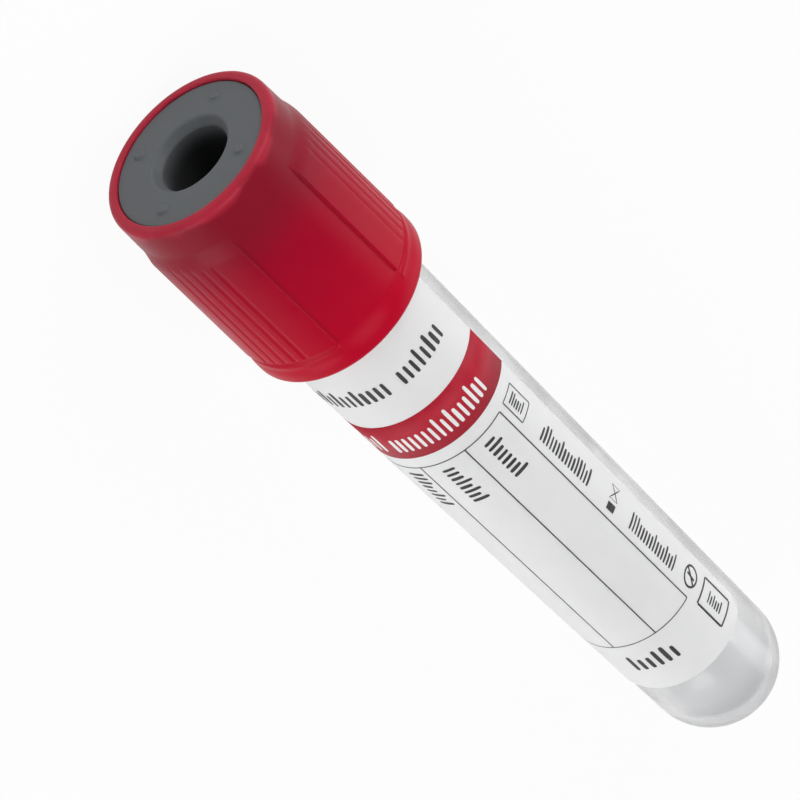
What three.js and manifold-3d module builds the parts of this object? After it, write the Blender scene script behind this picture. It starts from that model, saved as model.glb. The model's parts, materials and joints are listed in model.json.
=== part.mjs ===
// A blood collection tube with its pull-off closure, lying on its side as it comes to rest.
// Millimetres, +Z up. The origin is at the bottom centre of the whole part, and the round end is at +X.
//
// Every piece is drawn on the tube's own axis. A station is a distance along that axis from the cap's rim,
// a radius is a distance from it, and angle 0 is the side that faces up, turning towards -Y.
import * as THREE from "three";
import { mergeVertices } from "three/addons/utils/BufferGeometryUtils.js";
import Module from "manifold-3d";

const wasm = await Module();
wasm.setup();

// How round the model is.
const SIDES = 32; // flats round every turned piece
const BEND_STEPS = 5; // straight pieces in a quarter turn of a small edge
const END_STEPS = 10; // straight pieces in the quarter turn of the tube's round end

// Tube: a 13 x 75 mm moulded tube with a little draft, open at the mouth and round at the end.
const TUBE_LENGTH = 75;
const MOUTH_STATION = 9.55;
const MOUTH_RADIUS = 6.5;
const WALL = 1.0;
const DRAFT = 0.004; // loss of radius for each millimetre from the mouth
const MOUTH_EDGE = 0.3;
const TUBE_END = MOUTH_STATION + TUBE_LENGTH;
// The round end is a half ball as wide as the drafted wall that it closes.
const END_RADIUS = (MOUTH_RADIUS - DRAFT * TUBE_LENGTH) / (1 - DRAFT);
const END_CENTRE = TUBE_END - END_RADIUS;

// Label: paper, wrapped round the tube but for a clear window along one side.
const LABEL_PAPER = 0.1;
const LABEL_GLUE = 0.02;
const LABEL_START = 17;
const LABEL_STOP = 72.1;
const LABEL_CORNER = 1.6;
const WINDOW_CENTRE = -86;
const WINDOW_WIDTH = 60;

// Cap: a thin shell with a rim round the stopper, three grip pads, and a flare to a band at its open end.
const CAP_LENGTH = 19.36;
const RIM_OPENING = 6.58;
const RIM_RADIUS = 7.47;
const RIM_EDGE = 0.45;
const RIM_INNER_EDGE = 0.15;
const RIM_THICKNESS = 1.2;
const COLLAR_END = 3.0;
const COLLAR_RADIUS = 7.56;
const SHELL_END = 16.5;
const SHELL_RADIUS = 7.78;
const FLARE_STEPS = 5;
const BAND_START = 18.1;
const BAND_RADIUS = 8.09;
const BAND_EDGE = 0.45;
const SEAT_RADIUS = 6.9; // the seat round the stopper's flange
const SEAT_END = 4.1;
const SNAP_RADIUS = 6.6; // the ring that the flange snaps past
const SNAP_END = 4.9;
const SNAP_SLOPE = 0.35;
const SKIRT_BORE = 6.78;
const SKIRT_CHAMFER = 0.15;

// Grip pads: raised strips at the sides of each pad, and fine ribs between its grooves.
const PAD_COUNT = 3;
const PAD_PHASE = 52.5;
const PAD_HALF_WIDTH = 34;
const PAD_SIDE = 1.2; // degrees that a pad's side slopes over
const PAD_HEIGHT = 0.27;
const PAD_START = 2.7;
const PAD_RISE = 0.8; // length of the ramp at a pad's start
const PAD_END = 16.9;
const PAD_TAIL = 0.2;
const PAD_ROOT = 0.3; // how deep a pad is rooted in the shell
const PAD_FOOT = -0.05; // the foot of a pad's slopes, just under the shell's skin
const GROOVE_COUNT = 5;
const GROOVE_PITCH = 7;
const GROOVE_HALF_WIDTH = 1.6;
const GROOVE_FLOOR_HALF_WIDTH = 0.6;
const GROOVE_FLOOR = 0.4; // height of a groove's floor, as a share of the pad's height
const GROOVE_RUN_IN = 0.4;
const STRIP_MIDDLE = 25;

// Stopper: a rubber plug with a flange held in the cap, a well for the needle and a hollow foot.
const FACE_STATION = 0.2;
const FACE_RADIUS = 6.54;
const FLANGE_TOP = 1.25;
const FLANGE_RADIUS = 6.85;
const FLANGE_END = 4.05;
const NECK_RADIUS = 6.48;
const SHOULDER = MOUTH_STATION - 0.05;
const PLUG_CLEARANCE = 0.04;
const PLUG_END = 15.2;
const PLUG_EDGE = 0.5;
const WELL_RADIUS = 3.0;
const WELL_LIP = 0.7;
const WELL_FLOOR = 8.2;
const WELL_BOTTOM_BEND = 1.2;
const FOOT_RADIUS = 3.6;
const FOOT_TOP = 12.2;
const FOOT_TOP_RADIUS = 2.6;
const NUB_COUNT = 4;
const NUB_PHASE = 58;
const NUB_CIRCLE = 5.1;
const NUB_RADIUS = 0.5;
const NUB_HEIGHT = 0.2; // up to the plane of the rim, so that nothing stands proud of the cap
const NUB_SIDES = 12;
const NUB_STEPS = 3;

const radians = THREE.MathUtils.degToRad;
const point = (radius, station) => new THREE.Vector2(radius, station);

const tubeRadius = (station) => MOUTH_RADIUS - DRAFT * (station - MOUTH_STATION);

// The body's cone, and the flare that leads from it to the band.
function shellRadius(station) {
  const cone = THREE.MathUtils.mapLinear(station, COLLAR_END, SHELL_END, COLLAR_RADIUS, SHELL_RADIUS);
  const flare = THREE.MathUtils.smoothstep(station, SHELL_END, BAND_START);
  return Math.min(cone, SHELL_RADIUS) + (BAND_RADIUS - SHELL_RADIUS) * flare;
}

// Points of a profile along an arc. Angle 0 points away from the axis and 90 towards the round end.
function arc(radius, station, bend, from, to, steps = BEND_STEPS) {
  const points = [];
  for (let i = 0; i <= steps; i++) {
    const angle = radians(from + ((to - from) * i) / steps);
    points.push(point(Math.max(0, radius + bend * Math.cos(angle)), station + bend * Math.sin(angle)));
  }
  return points;
}

// A profile turned about the axis. Its flats touch the true circle, and one of them faces straight down.
// The profile runs along the outside towards the round end, and along the inside the other way.
function turned(profile, sides = SIDES) {
  const out = 1 / Math.cos(Math.PI / sides);
  const points = profile.map((p) => point(p.x * out, p.y));
  return new THREE.LatheGeometry(points, sides, Math.PI / sides);
}

// The same geometry as a solid that can be joined and cut.
function solidFrom(geometry) {
  const plain = new THREE.BufferGeometry();
  plain.setAttribute("position", geometry.getAttribute("position"));
  plain.setIndex(geometry.getIndex());
  const merged = mergeVertices(plain, 1e-4);
  return new wasm.Manifold(
    new wasm.Mesh({
      numProp: 3,
      vertProperties: new Float32Array(merged.attributes.position.array),
      triVerts: new Uint32Array(merged.index.array),
    }),
  );
}

function geometryFrom(solid) {
  const mesh = solid.getMesh();
  const geometry = new THREE.BufferGeometry();
  geometry.setAttribute("position", new THREE.BufferAttribute(mesh.vertProperties, 3));
  geometry.setIndex(new THREE.BufferAttribute(mesh.triVerts, 1));
  return geometry;
}

// A closed block between two rules for its radius, over a grid of stations and angles.
function polarBlock(stations, angles, innerRadius, outerRadius) {
  const rows = stations.length;
  const columns = angles.length;
  const positions = [];
  for (const radiusAt of [innerRadius, outerRadius]) {
    for (let row = 0; row < rows; row++) {
      for (let column = 0; column < columns; column++) {
        const angle = radians(angles[column]);
        const radius = radiusAt(row, column);
        positions.push(radius * Math.sin(angle), stations[row], radius * Math.cos(angle));
      }
    }
  }
  const inner = (row, column) => row * columns + column;
  const outer = (row, column) => (rows + row) * columns + column;
  const index = [];
  const quad = (a, b, c, d) => index.push(a, b, c, a, c, d);
  for (let i = 0; i + 1 < rows; i++) {
    for (let j = 0; j + 1 < columns; j++) {
      quad(outer(i, j), outer(i, j + 1), outer(i + 1, j + 1), outer(i + 1, j));
      quad(inner(i, j), inner(i + 1, j), inner(i + 1, j + 1), inner(i, j + 1));
    }
    quad(inner(i, 0), outer(i, 0), outer(i + 1, 0), inner(i + 1, 0));
    const last = columns - 1;
    quad(outer(i, last), inner(i, last), inner(i + 1, last), outer(i + 1, last));
  }
  for (let j = 0; j + 1 < columns; j++) {
    quad(inner(0, j), inner(0, j + 1), outer(0, j + 1), outer(0, j));
    quad(inner(rows - 1, j + 1), inner(rows - 1, j), outer(rows - 1, j), outer(rows - 1, j + 1));
  }
  const geometry = new THREE.BufferGeometry();
  geometry.setAttribute("position", new THREE.Float32BufferAttribute(positions, 3));
  geometry.setIndex(index);
  return geometry;
}

function tubeGeometry() {
  const mouthBore = MOUTH_RADIUS - WALL;
  return turned([
    ...arc(0, END_CENTRE, END_RADIUS - WALL, 90, 0, END_STEPS),
    ...arc(mouthBore + MOUTH_EDGE, MOUTH_STATION + MOUTH_EDGE, MOUTH_EDGE, -180, -90),
    ...arc(MOUTH_RADIUS - MOUTH_EDGE, MOUTH_STATION + MOUTH_EDGE, MOUTH_EDGE, -90, 0),
    ...arc(0, END_CENTRE, END_RADIUS, 0, 90, END_STEPS),
  ]);
}

// What the die takes off one corner of the label: a square block less the round of the corner.
// The sides are 1 or -1, and say which way the corner points round the tube and along it.
function cornerCutter(angle, station, roundSide, alongSide) {
  const reach = LABEL_CORNER + 1;
  const block = new THREE.BoxGeometry(reach, reach, 2 * WALL);
  block.translate((roundSide * reach) / 2, (alongSide * reach) / 2, MOUTH_RADIUS);
  const round = new THREE.CylinderGeometry(LABEL_CORNER, LABEL_CORNER, 3 * WALL, SIDES);
  round.rotateX(Math.PI / 2);
  round.translate(0, 0, MOUTH_RADIUS);
  const cutter = geometryFrom(solidFrom(block).subtract(solidFrom(round)));
  return solidFrom(cutter.rotateY(radians(angle)).translate(0, station, 0));
}

function labelGeometry() {
  const skin = (lift) => [
    point(tubeRadius(LABEL_START) + lift, LABEL_START),
    point(tubeRadius(LABEL_STOP) + lift, LABEL_STOP),
  ];
  const outside = skin(LABEL_GLUE + LABEL_PAPER);
  const inside = skin(LABEL_GLUE).reverse();
  const sleeve = turned([...outside, ...inside, outside[0]]);
  const from = WINDOW_CENTRE - WINDOW_WIDTH / 2;
  const middle = WINDOW_CENTRE;
  const to = WINDOW_CENTRE + WINDOW_WIDTH / 2;
  const window = polarBlock(
    [LABEL_START - 1, LABEL_STOP + 1],
    [from, middle, to],
    () => MOUTH_RADIUS - WALL,
    () => MOUTH_RADIUS + WALL,
  );
  let label = solidFrom(sleeve).subtract(solidFrom(window));
  const inset = THREE.MathUtils.radToDeg(Math.asin(LABEL_CORNER / MOUTH_RADIUS));
  for (const [station, alongSide] of [[LABEL_START + LABEL_CORNER, -1], [LABEL_STOP - LABEL_CORNER, 1]]) {
    label = label.subtract(cornerCutter(from - inset, station, 1, alongSide));
    label = label.subtract(cornerCutter(to + inset, station, -1, alongSide));
  }
  return geometryFrom(label);
}

// The shell without its pads: rim, collar, body, band, then back up the bore past the snap ring and the seat.
function capShellGeometry() {
  const rimBend = point(RIM_RADIUS - RIM_EDGE, RIM_EDGE);
  const flare = [];
  for (let i = 0; i <= FLARE_STEPS; i++) {
    const station = THREE.MathUtils.lerp(SHELL_END, BAND_START, i / FLARE_STEPS);
    flare.push(point(shellRadius(station), station));
  }
  const outside = [
    ...arc(RIM_OPENING + RIM_INNER_EDGE, RIM_INNER_EDGE, RIM_INNER_EDGE, -180, -90, 2),
    ...arc(rimBend.x, rimBend.y, RIM_EDGE, -90, 0),
    point(COLLAR_RADIUS, COLLAR_END),
    ...flare,
    ...arc(BAND_RADIUS - BAND_EDGE, CAP_LENGTH - BAND_EDGE, BAND_EDGE, 0, 90, 3),
  ];
  const inside = [
    point(SKIRT_BORE + SKIRT_CHAMFER, CAP_LENGTH),
    point(SKIRT_BORE, CAP_LENGTH - SKIRT_CHAMFER),
    point(SKIRT_BORE, SNAP_END + SNAP_SLOPE),
    point(SNAP_RADIUS, SNAP_END),
    point(SNAP_RADIUS, SEAT_END),
    point(SEAT_RADIUS, SEAT_END),
    point(SEAT_RADIUS, RIM_THICKNESS),
    point(RIM_OPENING, RIM_THICKNESS),
  ];
  return turned([...outside, ...inside, outside[0]]);
}

// Angles across a pad from its middle, each with the share of the pad's height that it stands at.
function padSection() {
  const foot = PAD_FOOT / PAD_HEIGHT;
  const section = [[-PAD_HALF_WIDTH - PAD_SIDE / 2, foot], [-PAD_HALF_WIDTH + PAD_SIDE / 2, 1]];
  section.push([-STRIP_MIDDLE, 1]);
  const firstGroove = (-GROOVE_PITCH * (GROOVE_COUNT - 1)) / 2;
  for (let i = 0; i < GROOVE_COUNT; i++) {
    const middle = firstGroove + i * GROOVE_PITCH;
    section.push([middle - GROOVE_HALF_WIDTH, 1]);
    section.push([middle - GROOVE_FLOOR_HALF_WIDTH, GROOVE_FLOOR]);
    section.push([middle + GROOVE_FLOOR_HALF_WIDTH, GROOVE_FLOOR]);
    section.push([middle + GROOVE_HALF_WIDTH, 1]);
  }
  section.push([STRIP_MIDDLE, 1]);
  section.push([PAD_HALF_WIDTH - PAD_SIDE / 2, 1], [PAD_HALF_WIDTH + PAD_SIDE / 2, foot]);
  return section;
}

// One pad: it rises from the shell at both ends, and its grooves run in once it stands at its full height.
function padGeometry(middle) {
  const section = padSection();
  const full = PAD_START + PAD_RISE;
  const stations = [PAD_START, full, full + GROOVE_RUN_IN, PAD_END - PAD_TAIL, PAD_END];
  const height = [PAD_FOOT, PAD_HEIGHT, PAD_HEIGHT, PAD_HEIGHT, PAD_FOOT];
  const grooved = [false, false, true, true, true];
  const angles = section.map(([angle]) => middle + angle);
  const share = (row, column) => {
    const [, depth] = section[column];
    return grooved[row] || depth < 0 ? depth : 1;
  };
  const lift = (row, column) => (height[row] > 0 ? height[row] * share(row, column) : PAD_FOOT);
  return polarBlock(
    stations,
    angles,
    (row) => shellRadius(stations[row]) - PAD_ROOT,
    (row, column) => shellRadius(stations[row]) + lift(row, column),
  );
}

function capGeometry() {
  let cap = solidFrom(capShellGeometry());
  for (let i = 0; i < PAD_COUNT; i++) {
    cap = cap.add(solidFrom(padGeometry(PAD_PHASE + (i * 360) / PAD_COUNT)));
  }
  return geometryFrom(cap);
}

// Rubber round the well, down the outside to the plug, and back up inside the hollow foot.
function stopperBodyGeometry() {
  const plugRadius = (station) => tubeRadius(station) - WALL - PLUG_CLEARANCE;
  const wellBend = WELL_RADIUS - WELL_BOTTOM_BEND;
  return turned([
    point(0, WELL_FLOOR),
    ...arc(wellBend, WELL_FLOOR - WELL_BOTTOM_BEND, WELL_BOTTOM_BEND, 90, 0, 3),
    ...arc(WELL_RADIUS + WELL_LIP, FACE_STATION + WELL_LIP, WELL_LIP, -180, -90, 4),
    point(FACE_RADIUS, FACE_STATION),
    point(FACE_RADIUS, FLANGE_TOP),
    point(FLANGE_RADIUS, FLANGE_TOP),
    point(FLANGE_RADIUS, FLANGE_END),
    point(NECK_RADIUS, FLANGE_END),
    point(NECK_RADIUS, SHOULDER),
    point(plugRadius(SHOULDER), SHOULDER),
    point(plugRadius(PLUG_END - PLUG_EDGE), PLUG_END - PLUG_EDGE),
    point(plugRadius(PLUG_END) - PLUG_EDGE, PLUG_END),
    point(FOOT_RADIUS, PLUG_END),
    point(FOOT_TOP_RADIUS, FOOT_TOP),
    point(0, FOOT_TOP),
  ]);
}

// A low dome on the stopper's face, which keeps wet stoppers from sticking together.
function nubGeometry(angle) {
  const dome = [];
  for (let i = 0; i <= NUB_STEPS; i++) {
    const turn = radians((90 * i) / NUB_STEPS);
    dome.push(point(NUB_RADIUS * Math.sin(turn), -NUB_HEIGHT * Math.cos(turn)));
  }
  const root = point(0, NUB_HEIGHT);
  const nub = new THREE.LatheGeometry([...dome, root], NUB_SIDES);
  const x = NUB_CIRCLE * Math.sin(radians(angle));
  const z = NUB_CIRCLE * Math.cos(radians(angle));
  return nub.translate(x, FACE_STATION, z);
}

function stopperGeometry() {
  let stopper = solidFrom(stopperBodyGeometry());
  for (let i = 0; i < NUB_COUNT; i++) {
    stopper = stopper.add(solidFrom(nubGeometry(NUB_PHASE + (i * 360) / NUB_COUNT)));
  }
  return geometryFrom(stopper);
}

function piece(name, geometry, look) {
  const mesh = new THREE.Mesh(geometry, new THREE.MeshStandardMaterial(look));
  mesh.name = name;
  return mesh;
}

// The pieces on their shared axis, which runs along +Y here, with angle 0 on +Z.
const assembly = new THREE.Group();
assembly.add(
  piece("tube", tubeGeometry(), { color: 0xdfe3e6, roughness: 0.1, transparent: true, opacity: 0.35 }),
  piece("label", labelGeometry(), { color: 0xf2f2f0, roughness: 0.6 }),
  piece("cap", capGeometry(), { color: 0xb4102c, roughness: 0.4 }),
  piece("stopper", stopperGeometry(), { color: 0x5c6063, roughness: 0.7 }),
);

// It rests on the band of the cap and on the round end, so its axis slopes down towards the narrower end.
const slope = Math.asin((BAND_RADIUS - END_RADIUS) / (END_CENTRE - (CAP_LENGTH - BAND_EDGE)));
assembly.rotation.z = -Math.PI / 2;
const lying = new THREE.Group();
lying.rotation.y = slope;
lying.add(assembly);

// The origin goes to the middle of the part's underside.
const part = new THREE.Group();
part.add(lying);
part.updateMatrixWorld(true);
const bounds = new THREE.Box3().setFromObject(part, true);
const centre = bounds.getCenter(new THREE.Vector3());
lying.position.set(-centre.x, -centre.y, -bounds.min.z);

export default part;
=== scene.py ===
# %% [markdown]
# # A blood collection tube
# The tube lies on its side: a clear plastic tube with a round end, a paper label wrapped round it,
# and a red pull-off cap that holds a grey rubber stopper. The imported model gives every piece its
# size and place. This script gives them their true curves and their finish, piece by piece.

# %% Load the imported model
import json
import math

import bpy
from mathutils import Matrix, Vector

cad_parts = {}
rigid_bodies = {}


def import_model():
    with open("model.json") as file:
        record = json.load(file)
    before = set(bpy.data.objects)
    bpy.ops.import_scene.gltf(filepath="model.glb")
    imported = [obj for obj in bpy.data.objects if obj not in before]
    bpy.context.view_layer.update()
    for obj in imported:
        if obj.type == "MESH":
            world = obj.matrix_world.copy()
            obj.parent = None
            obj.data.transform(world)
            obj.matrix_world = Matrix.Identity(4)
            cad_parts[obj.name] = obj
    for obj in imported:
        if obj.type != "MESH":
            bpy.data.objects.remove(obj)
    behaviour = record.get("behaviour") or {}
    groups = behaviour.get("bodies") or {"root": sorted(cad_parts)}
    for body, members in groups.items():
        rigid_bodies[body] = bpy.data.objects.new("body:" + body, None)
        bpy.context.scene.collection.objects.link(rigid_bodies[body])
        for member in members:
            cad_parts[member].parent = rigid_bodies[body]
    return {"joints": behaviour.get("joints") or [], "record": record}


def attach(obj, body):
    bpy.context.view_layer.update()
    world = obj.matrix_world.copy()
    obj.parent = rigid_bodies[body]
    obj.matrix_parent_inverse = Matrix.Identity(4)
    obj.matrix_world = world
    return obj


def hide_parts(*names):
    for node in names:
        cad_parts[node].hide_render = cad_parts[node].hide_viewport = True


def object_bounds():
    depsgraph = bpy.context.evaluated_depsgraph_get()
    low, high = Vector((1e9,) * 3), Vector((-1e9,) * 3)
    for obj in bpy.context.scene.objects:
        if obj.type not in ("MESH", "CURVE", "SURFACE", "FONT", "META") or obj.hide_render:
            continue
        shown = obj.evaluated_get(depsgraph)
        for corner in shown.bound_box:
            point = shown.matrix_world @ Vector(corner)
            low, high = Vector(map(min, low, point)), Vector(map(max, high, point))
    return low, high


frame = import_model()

cad_low, cad_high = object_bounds()
print("solid model, mm:", [round(1000 * size, 2) for size in cad_high - cad_low])

# %% [markdown]
# ## The tube's own axis
# Every piece was moulded or wrapped about one line, so every piece is drawn about it too: a station
# is a distance along that line from the rim of the cap, a radius is a distance from it, and angle 0
# is the side that faces up. One matrix then lays a finished piece down in its place. The direction
# comes from the closure's sliding joint, and the place from the mount on the stopper's face.

# %% From drawing to place
MM = 0.001
FACE_STATION = 0.2
MOUNT_RADIUS = 4.3  # where the mount sits on the stopper's face

pull = frame["joints"][0]
seat = frame["record"]["mounts"][0]
AXIS = -Vector(pull["axis"]).normalized()
SIDE = Vector((0, -1, 0))
UP = SIDE.cross(AXIS)
RIM_CENTRE = Vector(seat["pos_m"]) - MM * (FACE_STATION * AXIS + MOUNT_RADIUS * UP)


def at(station, radius=0.0, angle=0.0):
    """The point at a station, radius and angle, in metres in the shared frame."""
    turn = math.radians(angle)
    outward = math.cos(turn) * UP + math.sin(turn) * SIDE
    return RIM_CENTRE + MM * (station * AXIS + radius * outward)


LAY_DOWN = Matrix((UP, SIDE, AXIS)).transposed().to_4x4()
LAY_DOWN.translation = RIM_CENTRE
LAY_DOWN = LAY_DOWN @ Matrix.Scale(MM, 4)
print("rim centre, mm:", [round(1000 * value, 3) for value in RIM_CENTRE])

# %% [markdown]
# ## Camera
# The camera looks down on the cap's face from a long way off with a long lens, so the tube tapers
# only a little as it runs away. It is rolled, so that the tube crosses the picture from the upper
# left to the lower right. Its place is given as it would be noted in a studio: what it aims at,
# from which side, how high, how far, and how much it is rolled.

# %% Camera
CAMERA_AIM = at(31.34, 2.44, 90)
CAMERA_AZIMUTH = math.radians(-90.884)
CAMERA_ELEVATION = math.radians(51.409)
CAMERA_ROLL = math.radians(134.83)
CAMERA_DISTANCE = 253.76 * MM
CAMERA_LENS = 143.37


def camera_turn(azimuth, elevation, roll):
    """Azimuth 0 looks along +Y and 90 along -X. The roll turns the camera against the clock."""
    flat = math.cos(elevation)
    back = Vector((math.sin(azimuth) * flat, -math.cos(azimuth) * flat, math.sin(elevation)))
    level = Vector((0, 0, 1)).cross(back).normalized()
    right = math.cos(roll) * level + math.sin(roll) * back.cross(level)
    return Matrix((right, back.cross(right), back)).transposed()


camera = bpy.data.objects.new("camera", bpy.data.cameras.new("camera"))
bpy.context.scene.collection.objects.link(camera)
camera.data.lens = CAMERA_LENS
camera.data.clip_start = 0.01
view_turn = camera_turn(CAMERA_AZIMUTH, CAMERA_ELEVATION, CAMERA_ROLL)
camera.matrix_world = (
    Matrix.Translation(CAMERA_AIM + CAMERA_DISTANCE * view_turn.col[2]) @ view_turn.to_4x4()
)
bpy.context.scene.camera = camera
print("camera, mm:", [round(1000 * value, 1) for value in camera.location])

# %% [markdown]
# ## Turned pieces
# The tube, the cap and the stopper are round, so each is an outline turned about the axis. An
# outline is a short list of corners, and each corner says how far it is rounded off. The arc that
# rounds it has a ring on the flat at each end, which keeps the shading of the long walls clean.

# %% Outlines with rounded corners
BEND_STEPS = 6
HOLD = 0.35  # how far the holding rings stand off an arc, as a share of its radius
ON_AXIS = 1e-6


def rounded(corners):
    """Points of a closed outline. A corner is (radius, station), or (radius, station, bend)."""
    points = []
    for i, corner in enumerate(corners):
        here = Vector(corner[:2])
        if len(corner) == 2:
            points.append(here)
            continue
        bend = corner[2]
        back = (Vector(corners[i - 1][:2]) - here).normalized()
        on = (Vector(corners[(i + 1) % len(corners)][:2]) - here).normalized()
        turn = math.pi - back.angle(on)
        reach = bend * math.tan(turn / 2)
        centre = here + (back + on).normalized() * bend / math.cos(turn / 2)
        spoke = here + back * reach - centre
        sign = -1 if back.cross(on) > 0 else 1
        points.append(here + back * (reach + HOLD * bend))
        for step in range(BEND_STEPS + 1):
            points.append(centre + Matrix.Rotation(sign * turn * step / BEND_STEPS, 2) @ spoke)
        points.append(here + on * (reach + HOLD * bend))
    return points


def arc(radius, station, bend, start, stop, steps):
    """Points round (radius, station). Angle 0 points off the axis, and 90 to the round end."""
    turns = [math.radians(start + (stop - start) * i / steps) for i in range(steps + 1)]
    return [Vector((radius + bend * math.cos(t), station + bend * math.sin(t))) for t in turns]


# %% Turning an outline about the axis
SIDES = 192
full_turn = [math.tau * i / SIDES for i in range(SIDES)]
print("a turned piece has", SIDES, "sides")


def lathe(name, outline, angles=full_turn):
    """A closed smooth mesh. The outline runs along its outside towards the round end."""
    vertices, rings = [], []
    for radius, station in outline:
        first = len(vertices)
        if radius < ON_AXIS:
            vertices.append((0, 0, station))
            rings.append([first] * len(angles))
        else:
            vertices += [(radius * math.cos(a), radius * math.sin(a), station) for a in angles]
            rings.append(list(range(first, len(vertices))))
    pairs = list(zip(rings, rings[1:]))
    if outline[0][0] > ON_AXIS:
        pairs.append((rings[-1], rings[0]))
    faces = []
    for low, high in pairs:
        for j, a in enumerate(low):
            k = (j + 1) % len(low)
            corners = list(dict.fromkeys((a, low[k], high[k], high[j])))
            if len(corners) > 2:
                faces.append(corners)
    mesh = bpy.data.meshes.new(name)
    mesh.from_pydata(vertices, [], faces)
    mesh.shade_smooth()
    return mesh


# %% Putting a piece in place
def new_object(name, mesh):
    """An object in the scene, at the origin."""
    piece = bpy.data.objects.new(name, mesh)
    bpy.context.scene.collection.objects.link(piece)
    return piece


def place(name, mesh, body, slot, *nodes):
    """Lays a drawn mesh down in the shared frame, as a piece that rides on a body."""
    mesh.name = name
    mesh.transform(LAY_DOWN)
    piece = new_object(name, mesh)
    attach(piece, body)
    if nodes:
        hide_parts(*nodes)
    mesh.calc_loop_triangles()
    print(f"{name}: {len(mesh.loop_triangles)} triangles on {body}")
    return piece


# %% [markdown]
# ## Building node trees in a script
# Shader trees and Geometry Nodes trees are built the same way: make a node, set its inputs, link
# its outputs. These helpers make that one line for each node. A value given to an input is a
# constant, and a socket given to it becomes a link.

# %% Node helpers
def add(tree, kind, inputs=None, **settings):
    """A new node, with its settings and its inputs by name or number."""
    node = tree.nodes.new(kind)
    for key, value in settings.items():
        setattr(node, key, value)
    for key, value in (inputs or {}).items():
        if isinstance(value, bpy.types.NodeSocket):
            tree.links.new(value, node.inputs[key])
        else:
            node.inputs[key].default_value = value
    return node


def maths(tree, operation, *values):
    """The result of a Math node."""
    return add(tree, "ShaderNodeMath", dict(enumerate(values)), operation=operation).outputs[0]


def ramp(tree, value, start, stop, low=0.0, high=1.0, smooth=True):
    """Maps a value between two bounds to another range, held at its ends."""
    kind = "SMOOTHSTEP" if smooth else "LINEAR"
    inputs = {"Value": value, "From Min": start, "From Max": stop, "To Min": low, "To Max": high}
    return add(tree, "ShaderNodeMapRange", inputs, interpolation_type=kind).outputs["Result"]


FLOAT, INTEGER = "NodeSocketFloat", "NodeSocketInt"
GEOMETRY, MATERIAL = "NodeSocketGeometry", "NodeSocketMaterial"


def new_group(kind, name, inputs, outputs):
    """A node group with named sockets. Each input is (name, type, value)."""
    tree = bpy.data.node_groups.new(name, kind)
    for title, socket, value in inputs:
        item = tree.interface.new_socket(title, in_out="INPUT", socket_type=socket)
        if value is not None:
            item.default_value = value
    for title, socket in outputs:
        tree.interface.new_socket(title, in_out="OUTPUT", socket_type=socket)
    return tree, tree.nodes.new("NodeGroupInput").outputs, tree.nodes.new("NodeGroupOutput").inputs


def link(tree, source, target):
    tree.links.new(source, target)


# %% Helpers for Geometry Nodes
def geometry_tree(name, inputs):
    """A Geometry Nodes tree, or a group for one, whose result is a mesh."""
    return new_group("GeometryNodeTree", name, inputs, [("Geometry", GEOMETRY)])


def vector_maths(tree, operation, inputs, output="Vector"):
    """The result of a Vector Math node."""
    return add(tree, "ShaderNodeVectorMath", inputs, operation=operation).outputs[output]


def parts_of(tree, vector):
    """The X, Y and Z of a vector."""
    return add(tree, "ShaderNodeSeparateXYZ", {0: vector}).outputs


def position(tree):
    """Where a point of a Geometry Nodes mesh is."""
    return add(tree, "GeometryNodeInputPosition").outputs[0]


def moved_to(tree, geometry, x, y, z):
    """Sets every point's place."""
    place_at = add(tree, "ShaderNodeCombineXYZ", {"X": x, "Y": y, "Z": z}).outputs[0]
    inputs = {"Geometry": geometry, "Position": place_at}
    return add(tree, "GeometryNodeSetPosition", inputs).outputs[0]


def finished(tree, geometry, material, out):
    """Ends a tree: instances become real meshes, and the result gets its material."""
    real = add(tree, "GeometryNodeRealizeInstances", {0: geometry}).outputs[0]
    done = add(tree, "GeometryNodeSetMaterial", {"Geometry": real, "Material": material})
    link(tree, done.outputs[0], out["Geometry"])
    return tree


# %% [markdown]
# ## Applying a Geometry Nodes tree
# A tree works on a drawn mesh as a modifier. Its sizes are set by each socket's identifier, because
# the name on the panel isn't the key. The evaluated result is then kept as one plain mesh, and
# the helper object goes away, so that a finished piece has no modifier left on it.

# %% Running a tree on a mesh
def grown(mesh, tree, **sizes):
    """The mesh that a Geometry Nodes tree makes from a drawn mesh."""
    helper = new_object("helper", mesh)
    modifier = helper.modifiers.new("grow", "NODES")
    modifier.node_group = tree
    identifiers = {
        item.name: item.identifier
        for item in tree.interface.items_tree
        if item.item_type == "SOCKET" and item.in_out == "INPUT"
    }
    for name, value in sizes.items():
        modifier[identifiers[name.replace("_", " ")]] = value
    evaluated = helper.evaluated_get(bpy.context.evaluated_depsgraph_get())
    result = bpy.data.meshes.new_from_object(evaluated)
    bpy.data.objects.remove(helper)
    return result


# %% [markdown]
# ## Finishes that materials share
# No moulded or printed surface is perfectly even. Two small shader groups carry what the finishes
# here have in common. Fine grain is the texture that a mould or a paper mill leaves, in tenths of a
# millimetre. Handling is the broad uneven sheen of something that has been picked up and packed.
# Both read Object coordinates, which are metres in the shared frame, so their scales are real.

# %% Shader groups
def fine_grain_group():
    inputs = [("Grains per mm", FLOAT, 5.0), ("Detail", FLOAT, 3.0)]
    tree, given, out = new_group("ShaderNodeTree", "fine_grain", inputs, [("Height", FLOAT)])
    place_in = add(tree, "ShaderNodeTexCoord").outputs["Object"]
    scale = maths(tree, "MULTIPLY", given["Grains per mm"], 1 / MM)
    noise = {"Vector": place_in, "Scale": scale, "Detail": given["Detail"], "Roughness": 0.6}
    link(tree, add(tree, "ShaderNodeTexNoise", noise).outputs["Fac"], out["Height"])
    return tree


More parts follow.
